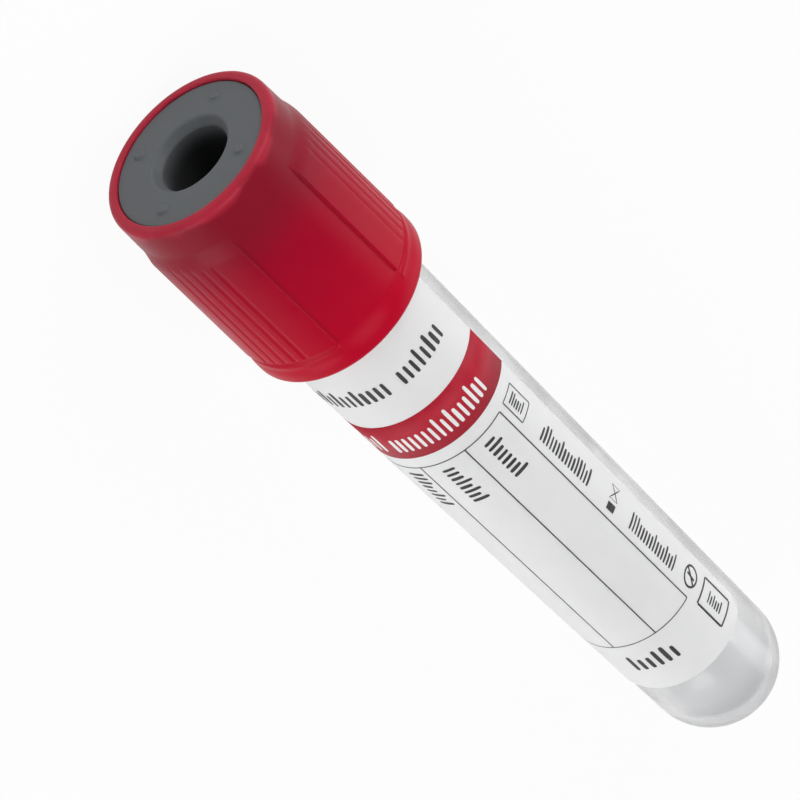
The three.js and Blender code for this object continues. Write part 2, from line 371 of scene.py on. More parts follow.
def handling_group():
    inputs = [("Patch mm", FLOAT, 4.0), ("Low", FLOAT, 0.3), ("High", FLOAT, 0.4)]
    outputs = [("Value", FLOAT), ("Mask", FLOAT)]
    tree, given, out = new_group("ShaderNodeTree", "handling", inputs, outputs)
    place_in = add(tree, "ShaderNodeTexCoord").outputs["Object"]
    scale = maths(tree, "DIVIDE", 1 / MM, given["Patch mm"])
    noise = {"Vector": place_in, "Scale": scale, "Detail": 2.0, "Roughness": 0.55}
    patches = add(tree, "ShaderNodeTexNoise", noise).outputs["Fac"]
    link(tree, ramp(tree, patches, 0.35, 0.65), out["Mask"])
    link(tree, ramp(tree, patches, 0.35, 0.65, given["Low"], given["High"]), out["Value"])
    return tree


fine_grain = fine_grain_group()
handling = handling_group()
print("shader groups:", fine_grain.name, handling.name)


# %% Material helpers
def new_material(name):
    """A material, its tree and the inputs of its Principled shader."""
    print("material:", name)
    material = bpy.data.materials.new(name)
    material.use_nodes = True
    tree = material.node_tree
    return material, tree, tree.nodes["Principled BSDF"].inputs


def group(tree, source, **inputs):
    """Places a shader group, with its own value for each of its inputs."""
    node = add(tree, "ShaderNodeGroup", node_tree=source)
    for name, value in inputs.items():
        node.inputs[name.replace("_", " ")].default_value = value
    return node.outputs


def surface(tree, shader, colour, roughness, grains_per_mm, detail, depth_mm):
    """Links a surface's colour and roughness, and a fine grain as a bump."""
    grain = group(tree, fine_grain, Grains_per_mm=grains_per_mm, Detail=detail)
    inputs = {"Height": grain["Height"], "Distance": depth_mm * MM, "Strength": 1.0}
    bump = add(tree, "ShaderNodeBump", inputs).outputs["Normal"]
    for source, target in ((colour, "Base Color"), (roughness, "Roughness"), (bump, "Normal")):
        link(tree, source, shader[target])


def two_tones(tree, mask, first, second):
    """A colour that goes from the first to the second with a mask. Each is a colour or a socket."""
    node = add(tree, "ShaderNodeMix", data_type="RGBA")
    factor, sides = node.inputs[0], node.inputs[6:8]
    link(tree, mask, factor)
    for side, colour in zip(sides, (first, second)):
        if isinstance(colour, bpy.types.NodeSocket):
            link(tree, colour, side)
        else:
            side.default_value = (*colour, 1)
    return node.outputs[2]


# %% [markdown]
# ## Clear plastic
# The tube is moulded from a clear plastic such as PET, one millimetre thick. A glass-like shader on
# a closed wall with a real inside and outside bends the light as the real wall does. Moulded
# plastic isn't as clear as glass, so a little roughness, in patches, gives it a faint milky haze.
# The round end is tinted greyer than the wall, which is painted shade that darkens the end.

# %% Clear plastic
WALL_TINT = (0.975, 0.977, 0.98)
# Painted shade: the round end's greyer tint.
END_SHADE_TINT = (0.7, 0.705, 0.715)
END_SHADE_FADE = (75, 81)  # the stations between which one tint gives way to the other


def station_of_surface(tree):
    """The station of a point of the surface, in millimetres."""
    place_in = add(tree, "ShaderNodeTexCoord").outputs["Object"]
    from_rim = vector_maths(tree, "SUBTRACT", {0: place_in, 1: RIM_CENTRE})
    along = vector_maths(tree, "DOT_PRODUCT", {0: from_rim, 1: AXIS}, "Value")
    return maths(tree, "DIVIDE", along, MM)


def clear_plastic():
    material, tree, shader = new_material("clear_plastic")
    shader["Transmission Weight"].default_value = 1.0
    shader["IOR"].default_value = 1.5
    # Painted shade: the tint darkens towards the round end.
    end = ramp(tree, station_of_surface(tree), *END_SHADE_FADE)
    tint = two_tones(tree, end, WALL_TINT, END_SHADE_TINT)
    sheen = group(tree, handling, Patch_mm=5.0, Low=0.1, High=0.17)
    surface(tree, shader, tint, sheen["Value"], grains_per_mm=1.5, detail=2.0, depth_mm=0.0008)
    return material


# %% [markdown]
# ## The tube
# A 13 by 75 mm tube with a rounded lip at its mouth and a half ball at its end, slightly narrower
# towards the end so that it leaves its mould. One outline runs up the inside, round the lip and
# down the outside, which makes one closed wall. Its radius and length are 0.004 mm under the
# solid's, so that the finely turned wall stays inside the solid's box.

# %% Sizes of the tube
TUBE_LENGTH = 74.996
MOUTH_STATION = 9.55
MOUTH_RADIUS = 6.496
WALL = 1.0
DRAFT = 0.004  # how much the radius shrinks for each millimetre of length
MOUTH_EDGE = 0.3
END_RADIUS = (MOUTH_RADIUS - DRAFT * TUBE_LENGTH) / (1 - DRAFT)
END_CENTRE = MOUTH_STATION + TUBE_LENGTH - END_RADIUS
END_STEPS = 48
WALL_RINGS = 0.1, 2  # how far the wall's holding rings stand off its lip and its round end


def tube_radius(station):
    """The radius of the tube's wall, outside."""
    return MOUTH_RADIUS - DRAFT * (station - MOUTH_STATION)


print("tube radius, mouth and round end:", MOUTH_RADIUS, round(END_RADIUS, 3))


# %% The tube
def tube_outline():
    """Up the inside, round the lip and down the outside."""
    bore = MOUTH_RADIUS - WALL + MOUTH_EDGE
    lip = MOUTH_STATION + MOUTH_EDGE
    inner_end = arc(0, END_CENTRE, END_RADIUS - WALL, 90, 0, END_STEPS)
    outer_end = arc(0, END_CENTRE, END_RADIUS, 0, 90, END_STEPS)
    near, far = WALL_RINGS
    wall_rings = [lip + near, lip + far, END_CENTRE - far, END_CENTRE - near]
    inner_wall = [Vector((tube_radius(s) - WALL, s)) for s in reversed(wall_rings)]
    outer_wall = [Vector((tube_radius(s), s)) for s in wall_rings]
    inner_lip = arc(bore, lip, MOUTH_EDGE, -180, -90, BEND_STEPS)
    outer_lip = arc(MOUTH_RADIUS - MOUTH_EDGE, lip, MOUTH_EDGE, -90, 0, BEND_STEPS)
    return [*inner_end, *inner_wall, *inner_lip, *outer_lip, *outer_wall, *outer_end]


tube_mesh = lathe("tube", tube_outline())
tube_mesh.materials.append(clear_plastic())
place("clear_tube", tube_mesh, "tube", "clear_tube", "tube")

# %% [markdown]
# ## Wrapping flat things round the tube
# The label and everything printed on it are flat, so they are drawn flat: x is the way round the
# tube, y is the station, and z is the lift off the tube's wall. This Geometry Nodes group bends that
# flat drawing round the tapered tube. The label and its print pass through the same group, so they
# can't drift apart.

# %% The wrapping group
ROUND_MM = math.radians(1) * MOUTH_RADIUS  # flat millimetres for one degree round the tube


def wrap_group():
    inputs = [
        ("Geometry", GEOMETRY, None),
        ("Flat radius", FLOAT, MOUTH_RADIUS),
        ("Mouth radius", FLOAT, MOUTH_RADIUS),
        ("Mouth station", FLOAT, MOUTH_STATION),
        ("Draft", FLOAT, DRAFT),
    ]
    tree, given, out = geometry_tree("wrap_round_tube", inputs)
    flat = parts_of(tree, position(tree))
    turn = maths(tree, "DIVIDE", flat["X"], given["Flat radius"])
    run = maths(tree, "SUBTRACT", flat["Y"], given["Mouth station"])
    lost = maths(tree, "MULTIPLY", run, given["Draft"])
    wall = maths(tree, "SUBTRACT", given["Mouth radius"], lost)
    radius = maths(tree, "ADD", wall, flat["Z"])
    across = maths(tree, "MULTIPLY", radius, maths(tree, "COSINE", turn))
    aside = maths(tree, "MULTIPLY", radius, maths(tree, "SINE", turn))
    bent = moved_to(tree, given["Geometry"], across, aside, flat["Y"])
    link(tree, bent, out["Geometry"])
    return tree


wrap = wrap_group()
print("wrapping group:", wrap.name)


# %% A sheet round the tube
def wrapped_tree():
    """Bends a closed flat sheet round the tube and gives it its material."""
    inputs = [("Sheet", GEOMETRY, None), ("Material", MATERIAL, None)]
    tree, given, out = geometry_tree("wrapped_sheet", inputs)
    bent = add(tree, "GeometryNodeGroup", {"Geometry": given["Sheet"]}, node_tree=wrap)
    return finished(tree, bent.outputs[0], given["Material"], out)


# %% [markdown]
# ## Label paper
# Coated white paper: smooth enough to print on, with a trace of fibre that only shows at a low
# angle. The colour stays a little below white, so that light can still model the curve of the tube.
# Paper this thin lets light through. Subsurface scattering does that here, so the inside of the
# label, which shows through the window, is a soft grey instead of black.

# %% Label paper
PAPER_TONES = ((0.865, 0.868, 0.871), (0.885, 0.887, 0.889))
PAPER_GLOW = 0.75  # the share of the light that spreads in the paper, and how far it goes
PAPER_GLOW_MM = 0.28


def label_paper():
    material, tree, shader = new_material("label_paper")
    shader["Subsurface Weight"].default_value = PAPER_GLOW
    shader["Subsurface Radius"].default_value = (1, 1, 1)
    shader["Subsurface Scale"].default_value = PAPER_GLOW_MM * MM
    cloud = group(tree, handling, Patch_mm=6.0, Low=0.42, High=0.52)
    tone = two_tones(tree, cloud["Mask"], *PAPER_TONES)
    surface(tree, shader, tone, cloud["Value"], grains_per_mm=4.0, detail=4.0, depth_mm=0.006)
    return material


# %% [markdown]
# ## The label
# One sheet, wrapped from one side of the clear window round to the other. Its four corners are
# rounded by the die that cut it. The flat sheet is a grid whose first and last rows follow those
# corners, with a face on both sides and a rim between them.

# %% Sizes of the label
LABEL_PAPER = 0.1
LABEL_GLUE = 0.02
LABEL_START = 17
LABEL_STOP = 72.1
LABEL_CORNER = 1.6
WINDOW_CENTRE = -86  # degrees, as the width is
WINDOW_WIDTH = 60
LABEL_FROM = WINDOW_CENTRE + WINDOW_WIDTH / 2
LABEL_TO = WINDOW_CENTRE + 360 - WINDOW_WIDTH / 2
flat_size = (LABEL_TO - LABEL_FROM) * ROUND_MM, LABEL_STOP - LABEL_START
print("flat label, mm:", [round(side, 1) for side in flat_size])

# %% The label
LABEL_ROWS = 12
CORNER_STEPS = 10
COLUMN_DEGREES = 2


def label_columns():
    """Places across the flat label, close together in the corners."""
    start, stop = LABEL_FROM * ROUND_MM, LABEL_TO * ROUND_MM
    quarter = [math.radians(90 * i / CORNER_STEPS) for i in range(CORNER_STEPS)]
    corner = [LABEL_CORNER * (1 - math.cos(turn)) for turn in quarter]
    straight = stop - start - 2 * LABEL_CORNER
    count = round(straight / (COLUMN_DEGREES * ROUND_MM))
    middle = [start + LABEL_CORNER + straight / count * i for i in range(count + 1)]
    return [start + c for c in corner] + middle + [stop - c for c in reversed(corner)]


def label_sheet():
    """The flat label as a closed mesh."""
    columns = label_columns()
    vertices, faces = [], []
    for lift in (LABEL_GLUE, LABEL_GLUE + LABEL_PAPER):
        for x in columns:
            inset = max(0.0, LABEL_CORNER - min(x - columns[0], columns[-1] - x))
            cut = LABEL_CORNER - math.sqrt(max(0.0, LABEL_CORNER**2 - inset**2))
            top, bottom = LABEL_START + cut, LABEL_STOP - cut
            gap = (bottom - top) / LABEL_ROWS
            vertices += [(x, top + gap * i, lift) for i in range(LABEL_ROWS + 1)]
    rows = LABEL_ROWS + 1
    sheet = len(columns) * rows
    for j in range(len(columns) - 1):
        for i in range(LABEL_ROWS):
            a, b = j * rows + i, (j + 1) * rows + i
            faces.append((a, a + 1, b + 1, b))
            faces.append((sheet + a, sheet + b, sheet + b + 1, sheet + a + 1))
    rim = [j * rows for j in range(len(columns))]
    rim += [sheet - rows + i for i in range(1, rows)]
    rim += [j * rows + rows - 1 for j in range(len(columns) - 2, -1, -1)]
    rim += [i for i in range(rows - 2, 0, -1)]
    for a, b in zip(rim, rim[1:] + rim[:1]):
        faces.append((a, b, sheet + b, sheet + a))
    mesh = bpy.data.meshes.new("label_sheet")
    mesh.from_pydata(vertices, [], faces)
    mesh.shade_smooth()
    mesh.set_sharp_from_angle(angle=math.radians(40))
    return mesh


label_mesh = grown(label_sheet(), wrapped_tree(), Material=label_paper())
place("paper_label", label_mesh, "tube", "label_paper", "label")

# %% [markdown]
# ## Print
# The print is a coloured band, rows of words, a ruled form and some small symbols. What the words
# say doesn't belong on a generic part, so each word is a row of plain upright strokes, two for each
# letter, which gives it a word's rhythm and weight. Every mark starts as a line in the flat drawing.
# Geometry Nodes turn a ruled line into a thin flat strip, and a word into strokes along its line,
# and then wrap both round the tube.

# %% Ruled lines
def named(tree, name):
    """A number that each point of a line carries."""
    node = add(tree, "GeometryNodeInputNamedAttribute", {"Name": name}, data_type="FLOAT")
    return node.outputs["Attribute"]


def as_curves(tree, lines):
    return add(tree, "GeometryNodeMeshToCurve", {"Mesh": lines}).outputs[0]


def strips(tree, lines):
    """A flat strip along each ruled line, as wide as the line says."""
    level = add(tree, "GeometryNodeSetCurveNormal", {"Curve": as_curves(tree, lines)}, mode="Z_UP")
    square = {"Width": 1.0, "Height": 1.0}
    inputs = {
        "Curve": level.outputs[0],
        "Profile Curve": add(tree, "GeometryNodeCurvePrimitiveQuadrilateral", square).outputs[0],
        "Scale": named(tree, "width"),
        "Fill Caps": True,
    }
    return add(tree, "GeometryNodeCurveToMesh", inputs).outputs[0]


# %% Words
TALL_SHARE = 1.0
SHORT_SHARE = 0.74
TALL_CHANCE = 0.4
STROKE_SHARES = (0.42, 0.62)  # the narrowest and widest stroke, as a share of the pitch
PITCH_SLACK = 0.99  # a word is a whole number of gaps, and this keeps rounding from losing one


def letter_block(tree, squareness):
    """A closed block one unit wide and one tall that stands on its line, with rounded corners."""
    size = {"Size": (2, 2, 1), "Vertices X": 5, "Vertices Y": 5}
    cube = add(tree, "GeometryNodeMeshCube", size).outputs[0]
    flat = parts_of(tree, position(tree))
    wide, tall = maths(tree, "ABSOLUTE", flat["X"]), maths(tree, "ABSOLUTE", flat["Y"])
    square = maths(tree, "MAXIMUM", wide, tall)
    powers = [maths(tree, "POWER", side, squareness) for side in (wide, tall)]
    root = maths(tree, "DIVIDE", 1.0, squareness)
    oval = maths(tree, "POWER", maths(tree, "ADD", *powers), root)
    shrink = maths(tree, "DIVIDE", square, maths(tree, "MAXIMUM", oval, ON_AXIS))
    x = maths(tree, "MULTIPLY", maths(tree, "MULTIPLY", flat["X"], shrink), 0.5)
    y = maths(tree, "MULTIPLY_ADD", maths(tree, "MULTIPLY", flat["Y"], shrink), 0.5, 0.5)
    return moved_to(tree, cube, x, y, flat["Z"])


def random_value(tree, kind, inputs):
    return add(tree, "FunctionNodeRandomValue", inputs, data_type=kind).outputs


def words(tree, lines, seed, squareness):
    """Strokes along each word's line, some tall and some short, each a little wider or narrower."""
    pitch, height = named(tree, "pitch"), named(tree, "width")
    gap = maths(tree, "MULTIPLY", pitch, PITCH_SLACK)
    spacing = {"Curve": as_curves(tree, lines), "Length": gap}
    along = {"Vector": add(tree, "GeometryNodeInputTangent").outputs[0]}
    turn = add(tree, "FunctionNodeAlignRotationToVector", along, axis="X", pivot_axis="Z")
    tall = random_value(tree, "BOOLEAN", {"Probability": TALL_CHANCE, "Seed": seed})[3]
    loose = {2: STROKE_SHARES[0], 3: STROKE_SHARES[1], "Seed": maths(tree, "ADD", seed, 1)}
    breadth = random_value(tree, "FLOAT", loose)[1]
    rise = ramp(tree, tall, 0.0, 1.0, SHORT_SHARE, TALL_SHARE)
    size = {
        "X": maths(tree, "MULTIPLY", pitch, breadth),
        "Y": maths(tree, "MULTIPLY", height, rise),
        "Z": 1.0,
    }
    inputs = {
        "Points": add(tree, "GeometryNodeResampleCurve", spacing, mode="LENGTH").outputs[0],
        "Instance": letter_block(tree, squareness),
        "Rotation": turn.outputs[0],
        "Scale": add(tree, "ShaderNodeCombineXYZ", size).outputs[0],
    }
    return add(tree, "GeometryNodeInstanceOnPoints", inputs).outputs[0]


# %% The printing tree
INK_ROOT = 0.006  # how deep a mark is sunk in the paper


def flattened(tree, geometry, lift):
    """Sets the top of every mark to one height and its underside to another."""
    flat = parts_of(tree, position(tree))
    top = maths(tree, "GREATER_THAN", flat["Z"], 0.0)
    rise = maths(tree, "MULTIPLY", top, maths(tree, "ADD", lift, INK_ROOT))
    height = maths(tree, "ADD", rise, LABEL_GLUE + LABEL_PAPER - INK_ROOT)
    return moved_to(tree, geometry, flat["X"], flat["Y"], height)


def print_tree():
    inputs = [
        ("Lines", GEOMETRY, None),
        ("Ink lift", FLOAT, 0.008),
        ("Seed", INTEGER, 3),
        ("Squareness", FLOAT, 5.0),
        ("Material", MATERIAL, None),
    ]
    tree, given, out = geometry_tree("printed_marks", inputs)
    pitches = {0: named(tree, "pitch"), 1: 0.0}
    is_word = add(tree, "FunctionNodeCompare", pitches, operation="GREATER_THAN").outputs[0]
    lines = {"Geometry": given["Lines"], "Selection": is_word}
    lettered, ruled = add(tree, "GeometryNodeSeparateGeometry", lines).outputs[:2]
    joined = add(tree, "GeometryNodeJoinGeometry")
    link(tree, strips(tree, ruled), joined.inputs[0])
    link(tree, words(tree, lettered, given["Seed"], given["Squareness"]), joined.inputs[0])
    real = add(tree, "GeometryNodeRealizeInstances", {0: joined.outputs[0]}).outputs[0]
    flat = {"Geometry": flattened(tree, real, given["Ink lift"])}
    bent = add(tree, "GeometryNodeGroup", flat, node_tree=wrap)
    return finished(tree, bent.outputs[0], given["Material"], out)


printed = print_tree()
print("trees:", wrap.name, printed.name)

# %% [markdown]
# ## The layout of the print
# Angles round the tube are in degrees and stations in millimetres, as on the label's own drawing.
# A word runs the way it is read, so round the tube it goes from a larger angle to a smaller one,
# and along the tube from the cap to the round end.

# %% Drawing marks as lines
CURVE_STEP = 3.0  # the most degrees between two points of a line that goes round the tube
STROKES = 2  # upright strokes for each letter of a word


class Marks:
    """Lines for one ink, with each line's width and, for a word, the pitch of its strokes."""

    def __init__(self):
        self.points, self.edges, self.widths, self.pitches = [], [], [], []

    def line(self, places, width, pitch=0.0):
        """A line through (angle, station) places, which closes where it ends at its first place."""
        first = len(self.points)
        closed = places[0] == places[-1]
        for angle, station in places[:-1] if closed else places:
            self.points.append((angle * ROUND_MM, station, 0))
            self.widths.append(width)
            self.pitches.append(pitch)
        last = len(self.points)
        self.edges += [(i, i + 1) for i in range(first, last - 1)]
        if closed:
            self.edges.append((last - 1, first))

    def path(self, places, width):
        """A ruled path, in steps short enough to bend round the tube."""
        stepped = [places[0]]
        for start, stop in zip(places, places[1:]):
            steps = max(1, math.ceil(abs(stop[0] - start[0]) / CURVE_STEP))
            for i in range(1, steps):
                stepped.append(tuple(a + (b - a) * i / steps for a, b in zip(start, stop)))
            stepped.append(stop)
        self.line(stepped, width)

    def word(self, start, stop, height, letters):
        """A word on its base line, inset so that its first and last stroke end where it does."""
        run = Vector(((stop[0] - start[0]) * ROUND_MM, stop[1] - start[1]))
        pitch = run.length / (letters * STROKES)
        inset = [pitch / 2 / run.length * (b - a) for a, b in zip(start, stop)]
        first = (start[0] + inset[0], start[1] + inset[1])
        last = (stop[0] - inset[0], stop[1] - inset[1])
        self.line([first, last], height, pitch)

    def outline_box(self, angles, stations, width):
        """A box drawn with four ruled lines."""
        half = width / 2
        for station in stations:
            self.path([(angles[0], station), (angles[1], station)], width)
        for angle in angles:
            self.path([(angle, stations[0] + half), (angle, stations[1] - half)], width)

    def ring(self, angle, station, radius, width, sides=24):
        """A round mark, drawn as one closed line."""
        turns = [math.tau * i / sides for i in range(sides)]
        wide = radius / ROUND_MM
        places = [(angle + wide * math.cos(t), station + radius * math.sin(t)) for t in turns]
        self.line([*places, places[0]], width)

    def mesh(self, name):
        """The lines as a mesh of edges, whose points carry the widths and pitches."""
        mesh = bpy.data.meshes.new(name)
        mesh.from_pydata(self.points, self.edges, [])
        for title, values in (("width", self.widths), ("pitch", self.pitches)):
            mesh.attributes.new(title, "FLOAT", "POINT").data.foreach_set("value", values)
        return mesh


# %% The dark print
HEADING_BASE = 25.2
HEADING_HEIGHT = 2.1
FORM_LINE = 0.11
FORM_ANGLES = (-21.5, 15.1, 52.5, 89.0)
FORM_STATIONS = (34.4, 64.6)
FORM_WORD_BASES = (3.7, 39.8, 70)

dark = Marks()
# A heading of two words.
dark.word((88, HEADING_BASE), (20, HEADING_BASE), HEADING_HEIGHT, 6)
dark.word((12, HEADING_BASE), (-35, HEADING_BASE), HEADING_HEIGHT, 4)
# A form with three fields to fill in, and a word at the start of each.
for station in FORM_STATIONS:
    dark.path([(FORM_ANGLES[0], station), (FORM_ANGLES[-1], station)], FORM_LINE)
for angle in FORM_ANGLES:
    ends = FORM_STATIONS[0] + FORM_LINE / 2, FORM_STATIONS[1] - FORM_LINE / 2
    dark.path([(angle, ends[0]), (angle, ends[1])], FORM_LINE)
for base in FORM_WORD_BASES:
    dark.word((base, 35.2), (base, 40.4), 1.5, 4)
# The volume.
dark.word((54.6, 68.75), (11.3, 68.75), 2.3, 3)
print("dark lines, heading and form:", len(dark.edges))

# %% The codes and symbols beside the form
CODE_BASE = -28
CODE_HEIGHT = 1.6
THIN, THICK = 0.1, 0.2

# A boxed sign and a code.
dark.outline_box((-44.5, -28), (34.3, 37.3), THIN)
dark.word((-31.5, 34.8), (-31.5, 36.8), 1.1, 3)
dark.word((CODE_BASE, 39.7), (CODE_BASE, 47.4), CODE_HEIGHT, 8)
# An hourglass on its foot, and a date.
dark.path([(-47, 50.4), (-36, 51.6), (-36, 50.4), (-47, 51.6), (-47, 50.4)], THIN)
dark.path([(-33, 51.0), (-27, 51.0)], 1.1)
dark.word((CODE_BASE, 53.9), (CODE_BASE, 61.5), CODE_HEIGHT, 8)
# A crossed-out circle.
dark.ring(-37, 64, 0.95, THICK)
dark.path([(-42.5, 63.3), (-31.5, 64.7)], THICK)
dark.path([(-38, 63.4), (-36, 64.6)], THICK)
# A larger boxed sign.
dark.outline_box((-47, -24.3), (66.1, 70.35), THICK)
dark.word((-30.5, 67.1), (-30.5, 69.5), 1.15, 3)
print("dark lines in all:", len(dark.edges))

# %% The red band and its white words
BAND_STATIONS = (28.27, 32.96)
BAND_INSET = 0.05  # degrees of bare paper between the band and the label's edges
WHITE_BASE = 32.0
WHITE_HEIGHT = 2.4

red, white = Marks(), Marks()
band_middle = sum(BAND_STATIONS) / 2
band_ends = [(angle, band_middle) for angle in (LABEL_FROM + BAND_INSET, LABEL_TO - BAND_INSET)]
red.path(band_ends, BAND_STATIONS[1] - BAND_STATIONS[0])
white.word((112, WHITE_BASE), (64, WHITE_BASE), WHITE_HEIGHT, 4)
white.word((57, WHITE_BASE), (-29, WHITE_BASE), WHITE_HEIGHT, 8)
print("red and white lines:", len(red.edges), len(white.edges))

# %% [markdown]
# ## Inks
# Printing ink on coated paper is a thin, slightly shiny film. It follows the paper's grain, and its
# colour is never quite even, so each ink goes between two close tones.

# %% Inks
def ink(name, first, second):
    material, tree, shader = new_material(name)
    shader["Specular IOR Level"].default_value = 0.25
    cloud = group(tree, handling, Patch_mm=1.2, Low=0.44, High=0.5)
    tone = two_tones(tree, cloud["Mask"], first, second)
    surface(tree, shader, tone, cloud["Value"], grains_per_mm=4.0, detail=4.0, depth_mm=0.006)
    return material


dark_ink = ink("dark_ink", (0.045, 0.043, 0.042), (0.06, 0.058, 0.056))
red_ink = ink("red_ink", (0.42, 0.008, 0.027), (0.45, 0.011, 0.031))
white_ink = ink("white_ink", (0.80, 0.79, 0.79), (0.84, 0.835, 0.83))
for name, marks, material, lift in (
    ("print_red_band", red, red_ink, 0.006),
    ("print_dark", dark, dark_ink, 0.008),
    ("print_white", white, white_ink, 0.012),
):
    mesh = grown(marks.mesh(name), printed, Ink_lift=lift, Material=material)
    place(name, mesh, "tube", "label_paper")

# %% [markdown]
# ## Red plastic
# The cap is moulded from a soft, slightly waxy plastic such as polyethylene. Its skin is a fine
# satin, a little smoother in some patches than in others. It is deep red right through but not
# quite opaque. Its tone along it is painted light and shade: the rim is painted paler and greyer as
# a highlight and sheen, the collar is painted darker as shade where the rubber stands behind its
# wall, and the open end is painted brighter as the light that comes through its wall. Painting that
# on by station is simpler and less noisy than light that scatters inside it.

# %% Red plastic
# Painted highlight and sheen: the rim's paler, greyer tone.
RIM_HIGHLIGHT_TONE = (0.40, 0.02, 0.042)
# Painted shade: the collar's darker tone, with a trace of painted sheen in its grey.
COLLAR_SHADE_TONE = (0.235, 0.006, 0.019)
BODY_TONE = (0.315, 0.001, 0.018)
# Painted light: the open end's brighter tone.
OPEN_END_LIGHT_TONE = (0.465, 0.001, 0.02)
RIM_HIGHLIGHT_FADE = (0.1, 0.9)  # the stations between which one tone gives way to the next
COLLAR_SHADE_FADE = (2.5, 8.0)
OPEN_END_LIGHT_FADE = (5.0, 18.0)
FADE_WANDER = 0.25  # how far the patches shift a fade along the cap


def red_plastic():
    material, tree, shader = new_material("red_plastic")
    shader["Specular IOR Level"].default_value = 0.12
    sheen = group(tree, handling, Patch_mm=3.0, Low=0.3, High=0.36)
    wander = ramp(tree, sheen["Mask"], 0.0, 1.0, -FADE_WANDER, FADE_WANDER)
    station = maths(tree, "ADD", station_of_surface(tree), wander)
    # Painted light and shade along the cap: brighter towards the open end, darker at the collar, and a
    # painted highlight on the rim.
    body = two_tones(tree, ramp(tree, station, *OPEN_END_LIGHT_FADE, smooth=False), BODY_TONE, OPEN_END_LIGHT_TONE)
    shell = two_tones(tree, ramp(tree, station, *COLLAR_SHADE_FADE), COLLAR_SHADE_TONE, body)
    skin = two_tones(tree, ramp(tree, station, *RIM_HIGHLIGHT_FADE), RIM_HIGHLIGHT_TONE, shell)
    surface(tree, shader, skin, sheen["Value"], grains_per_mm=6.0, detail=3.0, depth_mm=0.006)
    return material


# %% [markdown]
# ## The cap
# A thin shell: a rounded rim round the stopper, a plain collar, a body that widens a little, and a
# soft flare to a plain band at its open end. Three grip pads stand on the body. Each rises softly
# out of the collar and has a flat strip at either side and five fine grooves in its middle. A low
# lip across its end closes it off from the band. The shell is turned, and then Geometry Nodes raise
# the pads on it, because their pattern is a rule: the same pad three times round, and the same
# groove five times across. The turned mesh has its rings and columns close together where that
# relief is.

# %% Sizes of the cap
CAP_LENGTH = 19.36  # radii, stations and heights in millimetres
RIM_OPENING = 6.58
RIM_RADIUS = 7.47
RIM_EDGE = 0.48
RIM_INNER_EDGE = 0.15
RIM_THICKNESS = 1.2
COLLAR_END = 3.0
COLLAR_RADIUS = 7.56
SHELL_END = 16.5
SHELL_RADIUS = 7.78
BAND_START = 18.5
BAND_RADIUS = 8.085
BAND_EDGE = 0.45
SEAT_RADIUS = 6.9
SEAT_END = 4.1
SNAP_RADIUS = 6.6
SNAP_END = 4.9
SNAP_SLOPE = 0.35
SKIRT_BORE = 6.78
SKIRT_CHAMFER = 0.15

PAD_COUNT = 3
PAD_PHASE = 52.2  # the middle of the first pad, in degrees, as widths and pitches round the cap are
PAD_HALF_WIDTH = 33.3
PAD_SIDE = 1.2
PAD_HEIGHT = 0.27
PAD_START = 2.7
PAD_RISE = 1.9
PAD_END = 16.75
PAD_TAIL = 0.2
GROOVE_COUNT = 5
GROOVE_PITCH = 7
GROOVE_HALF_WIDTH = 2.0
GROOVE_FLOOR_HALF_WIDTH = 0.4
GROOVE_FLOOR = 0.73  # the share of a pad's height that is left at the floor of a groove
GROOVE_START = 3.1
GROOVE_RISE = 2.6
LIP_HEIGHT = 0.14
LIP_START = 16.95
LIP_TOP = 17.15
LIP_END = 17.75


def shell_radius(station):
    """The body's cone, and the soft flare that leads from it to the band."""
    share = (station - COLLAR_END) / (SHELL_END - COLLAR_END)
    cone = COLLAR_RADIUS + (SHELL_RADIUS - COLLAR_RADIUS) * min(share, 1.0)
    flare = min(max((station - SHELL_END) / (BAND_START - SHELL_END), 0.0), 1.0)
    return cone + (BAND_RADIUS - SHELL_RADIUS) * flare**2 * (3 - 2 * flare)


print("cap radii along the body:", [round(shell_radius(s), 2) for s in (COLLAR_END, SHELL_END, BAND_START)])

# %% The turned shell
# The gap between rings from each station on: where the pads rise, along them, at their ends, and
# over the lip and the flare.
RING_GAPS = (
    (PAD_START - 0.2, 0.08),
    (PAD_START + PAD_RISE + 0.2, 0.9),
    (PAD_END - PAD_TAIL - 0.1, 0.05),
    (PAD_END + 0.15, 0.15),
)
RINGS_END = BAND_START + 0.3


def spaced(start, stop, gap):
    """Even stations from one up to, and without, another."""
    count = max(1, round((stop - start) / gap))
    return [start + (stop - start) * i / count for i in range(count)]


def shell_rings():
    """Rings along the body, close together where the pads start and end."""
    rings, stops = [], [start for start, gap in RING_GAPS[1:]] + [RINGS_END]
    for (start, gap), stop in zip(RING_GAPS, stops):
        rings += [(shell_radius(s), s) for s in spaced(start, stop, gap)]
    return rings


def cap_outline():
    return rounded([
        (RIM_OPENING, 0, RIM_INNER_EDGE),
        (RIM_RADIUS, 0, RIM_EDGE),
        *shell_rings(),
        (BAND_RADIUS, CAP_LENGTH, BAND_EDGE),
        (SKIRT_BORE, CAP_LENGTH, SKIRT_CHAMFER),
        (SKIRT_BORE, SNAP_END + SNAP_SLOPE, 0.1),
        (SNAP_RADIUS, SNAP_END, 0.1),
        (SNAP_RADIUS, SEAT_END, 0.08),
        (SEAT_RADIUS, SEAT_END, 0.08),
        (SEAT_RADIUS, RIM_THICKNESS, 0.08),
        (RIM_OPENING, RIM_THICKNESS, 0.08),
    ])


# %% The columns of the shell
IN_GROOVES, AT_SIDE, NEAR_SIDE, ELSEWHERE = 0.4, 0.25, 0.5, 1.5  # degrees to the next column
NEAR = 3  # degrees from the side of a pad
LAST_GAP = 0.2  # the least that is left before the next pad's first column


